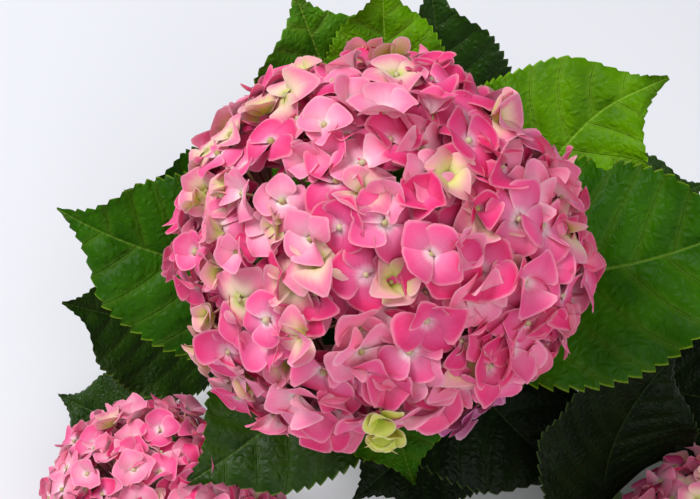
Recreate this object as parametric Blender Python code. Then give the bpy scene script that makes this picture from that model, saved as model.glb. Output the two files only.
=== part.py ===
"""A cut hydrangea branch with three flower heads, lying on a table.

An old stem forks into three green shoots. Each carries broad toothed leaves and ends in a round flower head:
a large one held up in the middle and a smaller one on each side, resting on the table with the cut end.
Metres, +Z up, z = 0 on the table. The heads face -Y and the cut end points to +Y.
"""

import math
import random

import bmesh
import bpy
from mathutils import Matrix, Vector

GAP = 0.0003  # clearance between neighbouring pieces
FOOT_GAP = 0.0009  # clearance between a limb and the foot of a leaf's stalk
UP = Vector((0, 0, 1))
LIGHT = Vector((0, -0.50, 0.87)).normalized()  # what the upper sides of the leaves turn to

# Stem and shoots, each with its radius at the foot and at the tip
STEM_RADII = (0.0060, 0.0050)
SHOOT_RADII = (0.0040, 0.0030)
STEM_LEAVES_CUT = Vector((-0.15, -1.00, 0.22)).normalized()
CUT_HEIGHT = STEM_RADII[0] * math.sqrt(1 - STEM_LEAVES_CUT.z**2)  # puts the cut's lower edge on the table
STEM_CUT = Vector((0.045, 0.222, CUT_HEIGHT))
FORK = Vector((0.020, 0.130, 0.070))
SIDE_FORK = 0.86  # how far up the stem the side shoots leave it
LIMB_REACH = 0.38  # how far a limb keeps the direction of its ends, over its length
LIMB_STATIONS = 16

# Flower heads: the middle of the ball, the way it faces, its radius over the petals, its width, height and
# depth over that radius, and how many florets it has
HEADS = {
    "middle": {
        "centre": (0.000, 0.000, 0.215),
        "faces": (-0.10, -0.66, 0.74),
        "radius": 0.086,
        "girth": (1.00, 0.94, 0.94),
        "florets": 60,
    },
    "left": {
        "centre": (-0.104, -0.033, 0.051),
        "faces": (-0.42, -0.80, 0.36),
        "radius": 0.0555,
        "girth": (1.00, 0.96, 0.94),
        "florets": 34,
    },
    "right": {
        "centre": (0.155, -0.065, 0.051),
        "faces": (0.50, -0.76, 0.36),
        "radius": 0.0545,
        "girth": (1.00, 0.96, 0.94),
        "florets": 34,
    },
}
CORE_SHARE = 0.84  # radius of a head's solid core over that of the head
CORE_WAIST = 0.62  # how far the core is drawn in at its lowest point
NECK_SHARE = 0.60  # how far below a head's middle its shoot ends, over the head's radius
LOWEST_FLORET = math.radians(126)  # polar angle of a head's last floret
GOLDEN_ANGLE = math.pi * (3 - math.sqrt(5))

# Florets. Lengths are over the floret's radius, except for the height and stalk, over the head's.
FLORET_OVERLAP = 1.028  # floret radius over that of an equal share of the ball
FLORET_TILT = 0.14
FLORET_HEIGHTS = (0.93, 0.985)
FLORET_STALK = 0.26
PETAL_NOTCH = 0.60
NOTCH_DIP = 0.2  # how far below the petals' foot the notches are, over the cup
PETAL_CUPS = (0.05, 0.22)
EYE_DEPTH = 0.10
CALYX_RADIUS = 0.30
CALYX_DEPTH = 0.34

# Leaves of each limb. along: share of the limb. turn: degrees round it, 0 to the right and 90 up as seen
# from its far end. rise and fall: degrees between limb and midrib at the blade's foot and at its tip.
# sweep: degrees that stalk and midrib bend sideways, anticlockwise seen from above the leaf. hook: the same
# for the blade's end alone. roll: degrees that the blade is turned about its midrib from facing the light.
LEAVES = {
    "stem": [
        {"along": 0.70, "turn": 60, "rise": 48, "fall": 62, "long": 0.132, "wide": 0.086, "sweep": 44},
        {"along": 0.66, "turn": 190, "rise": 70, "fall": 80, "long": 0.110, "wide": 0.076},
        {"along": 0.50, "turn": 350, "rise": 72, "fall": 84, "long": 0.112, "wide": 0.078},
    ],
    "middle": [
        {"along": 0.90, "turn": 98, "rise": 88, "fall": 72, "long": 0.094, "wide": 0.062},
        {"along": 0.90, "turn": 256, "rise": 84, "fall": 80, "long": 0.084, "wide": 0.070, "sweep": 40},
        {
            "along": 0.80, "turn": 240, "rise": 61, "fall": 66,
            "long": 0.138, "wide": 0.088, "sweep": -82, "roll": -12,
        },
        {"along": 0.80, "turn": 316, "rise": 74, "fall": 78, "long": 0.150, "wide": 0.106, "sweep": 78},
        {
            "along": 0.62, "turn": 348, "rise": 56, "fall": 74,
            "long": 0.128, "wide": 0.096, "sweep": 80, "hook": -40,
        },
        {"along": 0.62, "turn": 285, "rise": 53, "fall": 50, "long": 0.136, "wide": 0.084, "sweep": -62},
        {"along": 0.42, "turn": 124, "rise": 56, "fall": 68, "long": 0.112, "wide": 0.096, "sweep": -8},
        {"along": 0.42, "turn": 276, "rise": 72, "fall": 88, "long": 0.128, "wide": 0.098, "sweep": 54},
    ],
    "left": [
        {"along": 0.14, "turn": 80, "rise": 36, "fall": 48, "long": 0.126, "wide": 0.080, "sweep": 4},
        {"along": 0.54, "turn": 150, "rise": 54, "fall": 68, "long": 0.104, "wide": 0.082, "sweep": -24},
        {"along": 0.88, "turn": 216, "rise": 98, "fall": 94, "long": 0.078, "wide": 0.062, "sweep": -44},
    ],
    "right": [
        {"along": 0.15, "turn": 10, "rise": 50, "fall": 60, "long": 0.120, "wide": 0.080},
        {
            "along": 0.92, "turn": 168, "rise": 92, "fall": 90,
            "long": 0.096, "wide": 0.080, "sweep": -134, "roll": 24,
        },
        {"along": 0.50, "turn": 10, "rise": 40, "fall": 60, "long": 0.100, "wide": 0.074, "sweep": 20},
        {"along": 0.42, "turn": 175, "rise": 66, "fall": 72, "long": 0.110, "wide": 0.084, "sweep": 10},
        {"along": 0.88, "turn": 348, "rise": 94, "fall": 78, "long": 0.078, "wide": 0.060},
    ],
}
STALK_LONG = 0.024
STALK_WIDE = 0.0042
STALK_THICK = 0.0036
STALK_ROWS = 3
BLADE_THICK = 0.0018
BLADE_ROWS = 10
BLADE_COLUMNS = 4
HOOK_FROM = 0.6  # share of the blade where a hook begins
KEEL = 0.25  # slope of a blade's halves up from the midrib
DROOP = 0.16  # how far the margins curl back down, over half the width
TOOTH = 0.07  # depth of the teeth, over half the width
TOOTHED = (0.2, 0.97)  # share of the blade that has teeth
TIP_WIDE = 0.0014
DRIP_TIP = (0.78, 0.22)  # where the blade narrows to its drawn-out tip, and by how much


def bezier(path, t):
    """Point of a path at t from 0 to 1."""
    a, b, c, d = path
    s = 1 - t
    return a * s**3 + b * (3 * s * s * t) + c * (3 * s * t * t) + d * t**3


def heading(path, t):
    """Unit direction of a path at t."""
    a, b, c, d = path
    s = 1 - t
    return ((b - a) * (s * s) + (c - b) * (2 * s * t) + (d - c) * (t * t)).normalized()


def curved_path(start, leave, end, arrive):
    """Path that leaves its start along one direction and meets its end along another."""
    reach = (end - start).length * LIMB_REACH
    return (start, start + leave * reach, end - arrive * reach, end)


def across(along):
    """Unit vector to the right of a direction, seen from its far end."""
    return UP.cross(along).normalized()


def head_axis(name):
    return Vector(HEADS[name]["faces"]).normalized()


def neck(name):
    """Where a shoot ends under its flower head."""
    head = HEADS[name]
    return Vector(head["centre"]) - head_axis(name) * (head["radius"] * NECK_SHARE)


def limb_paths():
    """Path of the stem, of the middle shoot that carries on from it, and of a shoot from each of its sides."""
    onward = (neck("middle") - FORK).normalized()
    stem = curved_path(STEM_CUT, STEM_LEAVES_CUT, FORK, onward)
    middle = curved_path(FORK + onward * GAP, onward, neck("middle"), head_axis("middle"))
    paths = {"stem": stem, "middle": middle}
    node = bezier(stem, SIDE_FORK)
    right = across(heading(stem, SIDE_FORK))
    for name, out in (("left", -right), ("right", right)):
        start = node + out * (STEM_RADII[1] + 2 * GAP)
        paths[name] = curved_path(start, out, neck(name), head_axis(name))
    return paths


def material(name, colour, roughness):
    made = bpy.data.materials.new(name)
    made.use_nodes = True
    made.diffuse_color = (*colour, 1)
    shader = made.node_tree.nodes["Principled BSDF"]
    shader.inputs["Base Color"].default_value = (*colour, 1)
    shader.inputs["Roughness"].default_value = roughness
    shader.inputs["Metallic"].default_value = 0
    return made


def add_object(name, data, finish):
    made = bpy.data.objects.new(name, data)
    data.materials.append(finish)
    bpy.context.scene.collection.objects.link(made)
    return made


def as_mesh(name, mesh_maker):
    mesh = bpy.data.meshes.new(name)
    mesh_maker.to_mesh(mesh)
    mesh_maker.free()
    return mesh


def limb_radius(radii, t):
    return radii[0] + (radii[1] - radii[0]) * t


def limb(name, path, radii, finish):
    """A round limb with flat ends that tapers from its foot."""
    curve = bpy.data.curves.new(name, "CURVE")
    curve.dimensions = "3D"
    curve.bevel_depth = 1.0
    curve.bevel_resolution = 2
    curve.use_fill_caps = True
    spline = curve.splines.new("POLY")
    spline.points.add(LIMB_STATIONS - 1)
    for i, point in enumerate(spline.points):
        t = i / (LIMB_STATIONS - 1)
        point.co = (*bezier(path, t), 1)
        point.radius = limb_radius(radii, t)
    return add_object(name, curve, finish)


def eased(share):
    """Share from 0 to 1 that starts and stops gently."""
    share = min(1.0, max(0.0, share))
    return share * share * (3 - 2 * share)


def outline(s):
    """Half the width of a blade at share s of its length, over the greatest half width."""
    low, high = 0.62, 0.92
    middle = low / (low + high)
    ovate = s**low * (1 - s) ** high / (middle**low * (1 - middle) ** high)
    start, narrowing = DRIP_TIP
    return ovate * (1 - narrowing * max(0.0, (s - start) / (1 - start)))


def leaf_frames(path, radius, facts, stations):
    """Share, point, side and upper normal at each station of a leaf, from the foot of its stalk to its tip.

    The share is of the blade's length, and below zero on the stalk. The stalk leaves the limb squarely, bends
    to the blade's own direction and turns the side that is nearer to the light right up to it.
    """
    along = heading(path, facts["along"])
    right = across(along)
    turn = math.radians(facts["turn"])
    out = right * math.cos(turn) + along.cross(right) * math.sin(turn)
    hinge = along.cross(out)
    rise, fall, sweep, hook, roll = (
        math.radians(facts.get(name, 0)) for name in ("rise", "fall", "sweep", "hook", "roll")
    )
    upper = 1 if (Matrix.Rotation(rise, 3, hinge) @ along).cross(hinge).dot(LIGHT) > 0 else -1
    point = bezier(path, facts["along"]) + out * (radius + FOOT_GAP)
    frames = []
    before = stations[0]
    for s in stations:
        on_blade = max(0.0, s)
        bent = eased(1 + s * facts["long"] / STALK_LONG)
        angle = math.pi / 2 + (rise - math.pi / 2) * bent + (fall - rise) * on_blade
        direction = Matrix.Rotation(angle, 3, hinge) @ along
        normal = direction.cross(hinge)
        sideways = sweep * (bent + on_blade) / 2 + hook * eased((s - HOOK_FROM) / (1 - HOOK_FROM))
        direction = Matrix.Rotation(sideways, 3, normal) @ direction
        normal *= upper
        lit = LIGHT - direction * LIGHT.dot(direction)
        to_light = math.atan2(direction.dot(normal.cross(lit)), normal.dot(lit))
        normal = Matrix.Rotation((to_light + roll) * bent, 3, direction) @ normal
        point = point + direction * ((s - before) * facts["long"])
        frames.append((s, point.copy(), direction.cross(normal), normal))
        before = s
    return frames


def leaf(name, path, radius, facts, finish):
    """A stalk and a toothed blade in one closed piece, from a grid that follows the midrib."""
    stalk = [-STALK_LONG / facts["long"] * (1 - i / STALK_ROWS) for i in range(STALK_ROWS)]
    blade = [(i + 0.4) / (BLADE_ROWS + 0.4) for i in range(BLADE_ROWS + 1)]
    frames = leaf_frames(path, radius, facts, stalk + blade)
    rows = len(frames) - 1
    mesh_maker = bmesh.new()
    bmesh.ops.create_grid(mesh_maker, x_segments=BLADE_COLUMNS, y_segments=rows, size=1.0)
    on_stalk = []
    for vertex in mesh_maker.verts:
        u = vertex.co.x
        row = round((vertex.co.y + 1) / 2 * rows)
        s, middle, side, normal = frames[row]
        half, lift = STALK_WIDE / 2, 0.0
        if s > 0:
            tooth = TOOTH * (1 if row % 2 else -1) if TOOTHED[0] < s < TOOTHED[1] else 0.0
            tapered = half + (TIP_WIDE / 2 - half) * s
            half = max(tapered, outline(s) * facts["wide"] / 2 * (1 + tooth))
            lift = half * (KEEL * abs(u) - DROOP * u * u)
        else:
            on_stalk.append(vertex.index)
        vertex.co = middle + side * (u * half) + normal * lift
    made = add_object(name, as_mesh(name, mesh_maker), finish)
    group = made.vertex_groups.new(name="thickness")
    group.add(list(range(len(made.data.vertices))), BLADE_THICK / STALK_THICK, "REPLACE")
    group.add(on_stalk, 1.0, "REPLACE")
    solidify = made.modifiers.new("Thickness", "SOLIDIFY")
    solidify.thickness = STALK_THICK
    solidify.offset = 0
    solidify.vertex_group = group.name
    return made


def floret(radius, stalk, rng):
    """Closed mesh of one floret: four broad petals round a dished eye, on a tapering stalk."""
    mesh_maker = bmesh.new()
    rim = bmesh.ops.create_circle(mesh_maker, segments=12, radius=radius)["verts"]
    cup = rng.uniform(*PETAL_CUPS) * radius
    for i, vertex in enumerate(rim):
        is_notch = i % 3 == 0  # between two notches are the two corners of a petal
        share = (PETAL_NOTCH if is_notch else 1.0) * rng.uniform(0.93, 1.04)
        vertex.co = (vertex.co.x * share, vertex.co.y * share, cup * (-NOTCH_DIP if is_notch else 1.0))
    eye = mesh_maker.verts.new((0, 0, -EYE_DEPTH * radius))
    root = mesh_maker.verts.new((0, 0, -stalk))
    calyx = []
    for k in range(4):
        angle = math.pi / 2 * (k + 0.5)
        across_petal = Vector((math.cos(angle), math.sin(angle), 0)) * CALYX_RADIUS
        calyx.append(mesh_maker.verts.new((across_petal - UP * CALYX_DEPTH) * radius))
    for i in range(12):
        here, there = rim[i], rim[(i + 1) % 12]
        mesh_maker.faces.new((eye, here, there))
        mesh_maker.faces.new((calyx[i // 3], there, here))
    for k in range(4):
        here, there = calyx[k], calyx[(k + 1) % 4]
        mesh_maker.faces.new((here, there, rim[3 * (k + 1) % 12]))
        mesh_maker.faces.new((there, here, root))
    bmesh.ops.recalc_face_normals(mesh_maker, faces=mesh_maker.faces)
    return as_mesh("floret", mesh_maker)


def head_core(radius):
    """Closed mesh of the packed inside of a flower head: a ball drawn in below towards its shoot."""
    mesh_maker = bmesh.new()
    bmesh.ops.create_icosphere(mesh_maker, subdivisions=3, radius=radius * CORE_SHARE)
    bottom = (NECK_SHARE * radius - GAP) / (CORE_SHARE * radius)
    for vertex in mesh_maker.verts:
        below = max(0.0, -vertex.co.z / (radius * CORE_SHARE))
        drawn_in = 1 - CORE_WAIST * below**2
        vertex.co.x *= drawn_in
        vertex.co.y *= drawn_in
        vertex.co.z *= 1 - (1 - bottom) * below
    return as_mesh("core", mesh_maker)


def floret_places(count):
    """Directions spread evenly over a ball, from its top down to the last floret, each moved a little."""
    rng = random.Random(count)
    for i in range(count):
        polar = math.acos(1 - (i + 0.5) / count * (1 - math.cos(LOWEST_FLORET))) + rng.uniform(-0.04, 0.04)
        azimuth = i * GOLDEN_ANGLE + rng.uniform(-0.06, 0.06) / max(0.3, math.sin(polar))
        flat = math.sin(polar)
        yield Vector((flat * math.cos(azimuth), flat * math.sin(azimuth), math.cos(polar)))


def new_collection(name, objects):
    made = bpy.data.collections.new(name)
    bpy.context.scene.collection.children.link(made)
    for one in objects:
        made.objects.link(one)
    return made


def combine(target, operation, others):
    """Joins other mesh objects to a target, or cuts them from it, and removes them."""
    collection = new_collection("others", others)
    boolean = target.modifiers.new(operation.title(), "BOOLEAN")
    boolean.operation = operation
    boolean.operand_type = "COLLECTION"
    boolean.collection = collection
    boolean.solver = "EXACT"
    bpy.context.view_layer.update()
    solid = bpy.data.meshes.new_from_object(target.evaluated_get(bpy.context.evaluated_depsgraph_get()))
    target.modifiers.clear()
    target.data = solid
    for one in others:
        bpy.data.objects.remove(one)
    bpy.data.collections.remove(collection)


def table_block():
    """A block under the table's surface, to flatten what lies on it."""
    mesh_maker = bmesh.new()
    bmesh.ops.create_cube(mesh_maker, size=1.0)
    bmesh.ops.translate(mesh_maker, verts=mesh_maker.verts, vec=-UP / 2)
    return bpy.data.objects.new("table", as_mesh("table", mesh_maker))


def flower_head(name, finish):
    """A core with florets standing out of it, joined by one union and flattened where it lies on the table."""
    facts = HEADS[name]
    radius, count = facts["radius"], facts["florets"]
    girth = Vector(facts["girth"])
    rng = random.Random(count)
    share_of_ball = math.sqrt(2 * (1 - math.cos(LOWEST_FLORET)) / count)
    floret_radius = radius * share_of_ball * FLORET_OVERLAP
    stand = head_axis(name).to_track_quat("Z", "Y").to_matrix().to_4x4()
    stand.translation = Vector(facts["centre"])
    core = add_object("head_" + name, head_core(radius), finish)
    core.data.transform(stand @ Matrix.Diagonal((*girth, 1)))
    florets = []
    for place in floret_places(count):
        tilt = Vector([rng.uniform(-FLORET_TILT, FLORET_TILT) for _ in range(3)])
        facing = (place + tilt).to_track_quat("Z", "Y").to_matrix().to_4x4()
        facing.translation = place * girth * (radius * rng.uniform(*FLORET_HEIGHTS))
        spin = Matrix.Rotation(rng.uniform(0, math.pi / 2), 4, "Z")
        mesh = floret(floret_radius * rng.uniform(0.92, 1.08), FLORET_STALK * radius, rng)
        mesh.transform(stand @ facing @ spin)
        florets.append(bpy.data.objects.new("floret", mesh))
    combine(core, "UNION", florets)
    if facts["centre"][2] < radius:
        combine(core, "DIFFERENCE", [table_block()])
    return core


def centre_on_footprint(pieces):
    """Moves the branch so that the middle of its footprint is at the origin."""
    bpy.context.view_layer.update()
    graph = bpy.context.evaluated_depsgraph_get()
    reach = [vertex.co.copy() for piece in pieces for vertex in piece.evaluated_get(graph).to_mesh().vertices]
    holder = bpy.data.objects.new("branch", None)
    bpy.context.scene.collection.objects.link(holder)
    for axis in (0, 1):
        values = [point[axis] for point in reach]
        holder.location[axis] = -(min(values) + max(values)) / 2
    for piece in pieces:
        piece.parent = holder


def main():
    for old in list(bpy.data.objects):
        bpy.data.objects.remove(old)
    old_bark = material("old bark", (0.30, 0.22, 0.14), 0.8)
    green_bark = material("green bark", (0.26, 0.33, 0.12), 0.6)
    leaf_green = material("leaf green", (0.07, 0.17, 0.02), 0.4)
    petal_pink = material("petal pink", (0.80, 0.20, 0.33), 0.6)
    pieces = []
    for name, path in limb_paths().items():
        is_stem = name == "stem"
        radii = STEM_RADII if is_stem else SHOOT_RADII
        bark = old_bark if is_stem else green_bark
        pieces.append(limb("stem" if is_stem else f"shoot_{name}", path, radii, bark))
        for number, facts in enumerate(LEAVES[name], 1):
            radius = limb_radius(radii, facts["along"])
            pieces.append(leaf(f"leaf_{name}_{number}", path, radius, facts, leaf_green))
    pieces += [flower_head(name, petal_pink) for name in HEADS]
    centre_on_footprint(pieces)


main()
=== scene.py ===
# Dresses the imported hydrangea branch: florets with their petals, eyes and stalks, veined leaves and bark.
import math
import random

import bmesh
import bpy
import numpy as np
from mathutils import Matrix, Vector


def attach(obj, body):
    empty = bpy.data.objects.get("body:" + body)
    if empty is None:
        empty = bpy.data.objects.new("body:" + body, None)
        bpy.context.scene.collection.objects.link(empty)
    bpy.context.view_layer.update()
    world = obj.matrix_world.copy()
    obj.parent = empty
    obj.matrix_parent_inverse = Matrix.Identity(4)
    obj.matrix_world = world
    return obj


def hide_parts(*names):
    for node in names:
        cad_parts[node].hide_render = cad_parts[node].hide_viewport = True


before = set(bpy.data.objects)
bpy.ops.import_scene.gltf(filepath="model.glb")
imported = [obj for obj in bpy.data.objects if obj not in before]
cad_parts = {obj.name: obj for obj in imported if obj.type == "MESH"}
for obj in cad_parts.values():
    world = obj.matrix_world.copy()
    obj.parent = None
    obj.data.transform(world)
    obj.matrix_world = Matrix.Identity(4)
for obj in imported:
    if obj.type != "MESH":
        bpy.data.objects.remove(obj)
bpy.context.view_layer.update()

up = Vector((0, 0, 1))
branchShift = Vector((-0.025189, -0.050828, 0))  # puts the middle of the footprint at the origin


# ---- the branch's own rule: limbs, heads and the midribs of its leaves

branch = {
    "stemCut": Vector((0.045, 0.222, 0.00586)),
    "stemLeavesCut": Vector((-0.15, -1.00, 0.22)).normalized(),
    "fork": Vector((0.020, 0.130, 0.070)),
    "stemRadii": (0.0060, 0.0050),
    "shootRadii": (0.0040, 0.0030),
    "sideFork": 0.86,
    "reach": 0.38,  # how far a limb keeps the direction of its ends, over its length
    "gap": 0.0003,
    "neck": 0.60,  # how far below a head's middle its shoot ends, over the head's radius
}

heads = {
    "middle": {
        "centre": Vector((0.000, 0.000, 0.215)),
        "faces": Vector((-0.10, -0.66, 0.74)).normalized(),
        "radius": 0.086,
        "girth": Vector((1.00, 0.94, 0.94)),
        # where, how deep and how wide it is drawn in or, below zero, bulges
        "dents": (
            (Vector((0.390, -0.737, -0.553)), 0.34, 0.66),
            (Vector((-0.660, -0.639, -0.406)), -0.10, 0.48),
            (Vector((-0.100, -0.826, -0.563)), 0.05, 0.45),
            (Vector((0.700, 0.548, 0.460)), 0.12, 0.62),
        ),
        "loose": (
            ("bud", 0.0085, Vector((-0.01, -0.99, 0.03))),
            ("bud", 0.0085, Vector((0.03, -0.99, -0.08))),
            ("bud", 0.0085, Vector((0.00, -0.97, -0.16))),
            # dusky florets in the dent, coloured as painted shade
            ("mauve", 0.0130, Vector((0.400, -0.640, -0.500))),
            ("mauve", 0.0125, Vector((0.470, -0.620, -0.440))),
            ("mauve", 0.0120, Vector((0.330, -0.640, -0.520))),
        ),
    },
    "left": {
        "centre": Vector((-0.104, -0.033, 0.051)),
        "faces": Vector((-0.42, -0.80, 0.36)).normalized(),
        "radius": 0.0555,
        "paler": 9,
        "swell": (1.04, 0.003),  # how much fuller its florets stand, and how much higher
        "girth": Vector((1.00, 0.96, 0.94)),
    },
    "right": {
        "centre": Vector((0.155, -0.065, 0.051)),
        "faces": Vector((0.50, -0.76, 0.36)).normalized(),
        "radius": 0.0545,
        "swell": (1.05, 0.004),
        "girth": Vector((1.00, 0.96, 0.94)),
    },
}


def bezier(path, t):
    a, b, c, d = path
    s = 1 - t
    return a * s**3 + b * (3 * s * s * t) + c * (3 * s * t * t) + d * t**3


def heading(path, t):
    a, b, c, d = path
    s = 1 - t
    return ((b - a) * (s * s) + (c - b) * (2 * s * t) + (d - c) * (t * t)).normalized()


def curvedPath(start, leave, end, arrive):
    reach = (end - start).length * branch["reach"]
    return (start, start + leave * reach, end - arrive * reach, end)


def across(along):
    return up.cross(along).normalized()


def neckOf(name):
    head = heads[name]
    return head["centre"] - head["faces"] * (head["radius"] * branch["neck"])


def limbPaths():
    fork, gap = branch["fork"], branch["gap"]
    onward = (neckOf("middle") - fork).normalized()
    stem = curvedPath(branch["stemCut"], branch["stemLeavesCut"], fork, onward)
    paths = {"stem": stem}
    paths["middle"] = curvedPath(fork + onward * gap, onward, neckOf("middle"), heads["middle"]["faces"])
    node = bezier(stem, branch["sideFork"])
    right = across(heading(stem, branch["sideFork"]))
    for name, out in (("left", -right), ("right", right)):
        start = node + out * (branch["stemRadii"][1] + 2 * gap)
        paths[name] = curvedPath(start, out, neckOf(name), heads[name]["faces"])
    return paths


def limbRadius(limb, t):
    foot, tip = branch["stemRadii"] if limb == "stem" else branch["shootRadii"]
    return foot + (tip - foot) * t


def eased(share):
    share = np.clip(share, 0.0, 1.0)
    return share * share * (3 - 2 * share)


# ---- shader helpers


def putNode(tree, kind, inputs=None, **settings):
    made = tree.nodes.new(kind)
    for name, value in settings.items():
        setattr(made, name, value)
    for name, value in (inputs or {}).items():
        if isinstance(value, bpy.types.NodeSocket):
            tree.links.new(value, made.inputs[name])
        else:
            made.inputs[name].default_value = value
    return made


def noise(tree, place, scale, detail, output="Fac"):
    made = putNode(tree, "ShaderNodeTexNoise", {"Vector": place, "Scale": scale, "Detail": detail})
    return made.outputs[output]


def maths(tree, operation, *values):
    inputs = dict(enumerate(values))
    return putNode(tree, "ShaderNodeMath", inputs, operation=operation).outputs[0]


def ranged(tree, value, fromLow, fromHigh, toLow=0.0, toHigh=1.0, kind="SMOOTHSTEP"):
    inputs = {0: value, 1: fromLow, 2: fromHigh, 3: toLow, 4: toHigh}
    return putNode(tree, "ShaderNodeMapRange", inputs, interpolation_type=kind).outputs[0]


def blended(tree, factor, first, second, kind="MIX"):
    inputs = {0: factor, 6: first, 7: second}
    return putNode(tree, "ShaderNodeMix", inputs, data_type="RGBA", blend_type=kind).outputs[2]


def newGroup(name, inputs, outputs):
    group = bpy.data.node_groups.new(name, "ShaderNodeTree")
    for label, kind in inputs.items():
        group.interface.new_socket(name=label, in_out="INPUT", socket_type=kind)
    for label, kind in outputs.items():
        group.interface.new_socket(name=label, in_out="OUTPUT", socket_type=kind)
    return group, group.nodes.new("NodeGroupInput").outputs, group.nodes.new("NodeGroupOutput").inputs


def rgb(red, green, blue):
    # display values from 0 to 255 as a linear colour
    shares = (value / 255 for value in (red, green, blue))
    return tuple(((v + 0.055) / 1.055) ** 2.4 if v > 10 / 255 else v / 12.92 for v in shares) + (1,)


def newMaterial(name, **settings):
    made = bpy.data.materials.new(name)
    made.use_nodes = True
    shader = made.node_tree.nodes["Principled BSDF"]
    for label, value in settings.items():
        shader.inputs[label].default_value = value
    return made, made.node_tree, shader


def bumped(tree, height, distance, strength=1.0):
    bump = putNode(tree, "ShaderNodeBump", {"Height": height, "Distance": distance, "Strength": strength})
    return bump.outputs[0]


# ---- meshes


def finishPiece(name, mesh, node, materials):
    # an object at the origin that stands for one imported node
    mesh.transform(Matrix.Translation(branchShift))
    for material in materials:
        mesh.materials.append(material)
    piece = bpy.data.objects.new(name, mesh)
    bpy.context.scene.collection.objects.link(piece)
    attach(piece, "root")
    if node:
        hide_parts(node)
    return piece


def closedSheet(columns, rows):
    # two grids back to back that share their rim: x and y from -1 to 1, z 1 above, -1 below and 0 on the rim
    sheet = bmesh.new()
    bmesh.ops.create_grid(sheet, x_segments=columns, y_segments=rows, size=1)
    upper = sheet.verts[:]
    whole = sheet.verts[:] + sheet.edges[:] + sheet.faces[:]
    copied = bmesh.ops.duplicate(sheet, geom=whole)["geom"]
    bmesh.ops.reverse_faces(sheet, faces=[one for one in copied if isinstance(one, bmesh.types.BMFace)])
    under = [one for one in copied if isinstance(one, bmesh.types.BMVert)]
    for verts, height in ((upper, 1), (under, -1)):
        for vert in verts:
            if max(abs(vert.co.x), abs(vert.co.y)) < 0.9999:
                vert.co.z = height
    bmesh.ops.remove_doubles(sheet, verts=sheet.verts, dist=0.0001)
    mesh = bpy.data.meshes.new("sheet")
    sheet.to_mesh(mesh)
    sheet.free()
    return mesh


def pointsOf(mesh):
    flat = np.empty(len(mesh.vertices) * 3, np.float32)
    mesh.vertices.foreach_get("co", flat)
    return flat.reshape(-1, 3).astype(float)


def setPoints(mesh, points):
    mesh.vertices.foreach_set("co", np.asarray(points, np.float32).ravel())
    mesh.update()


def setAttribute(mesh, name, kind, values):
    made = mesh.attributes.new(name, kind, "POINT")
    field = "vector" if kind == "FLOAT_VECTOR" else "value"
    made.data.foreach_set(field, np.asarray(values, np.float32).ravel())


def underCorners(mesh, side):
    # which corners belong to faces of the underside
    corner = np.empty(len(mesh.loops), np.int32)
    mesh.loops.foreach_get("vertex_index", corner)
    return np.repeat(side[corner].reshape(-1, 4).sum(axis=1) < 0, 4), corner


def sharpenRim(mesh, side):
    # keeps the light of the upper face from bending round the thin rim
    ends = np.empty(len(mesh.edges) * 2, np.int32)
    mesh.edges.foreach_get("vertices", ends)
    onRim = (side[ends.reshape(-1, 2)] == 0).all(axis=1)
    mesh.attributes.new("sharp_edge", "BOOLEAN", "EDGE").data.foreach_set("value", onRim)


def setMap(mesh, name, perCorner):
    made = mesh.uv_layers.new(name=name)
    made.data.foreach_set("uv", np.asarray(perCorner, np.float32).ravel())


# ---- leaves

leafRule = {
    "stalkLong": 0.024,
    "stalkWide": 0.0042,
    "footGap": 0.0009,
    "light": Vector((0, -0.50, 0.87)).normalized(),
    "keel": 0.25,
    "droop": 0.16,
    "hookFrom": 0.6,
    "narrowTip": (0.78, 0.22),
    "tipWide": 0.0014,
    "columns": 40,
    "teeth": 25,
    "toothDeep": 0.50,  # over the space between teeth
    "toothLean": 0.13,
    "veins": 8,
    "veinSlant": 0.55,
    "veinCurve": 0.9,
    "quilt": 0.0024,
    "groove": 0.0011,
    "thick": 0.0005,
    "midribThick": 0.0013,
    "wave": 0.0030,
}
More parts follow.
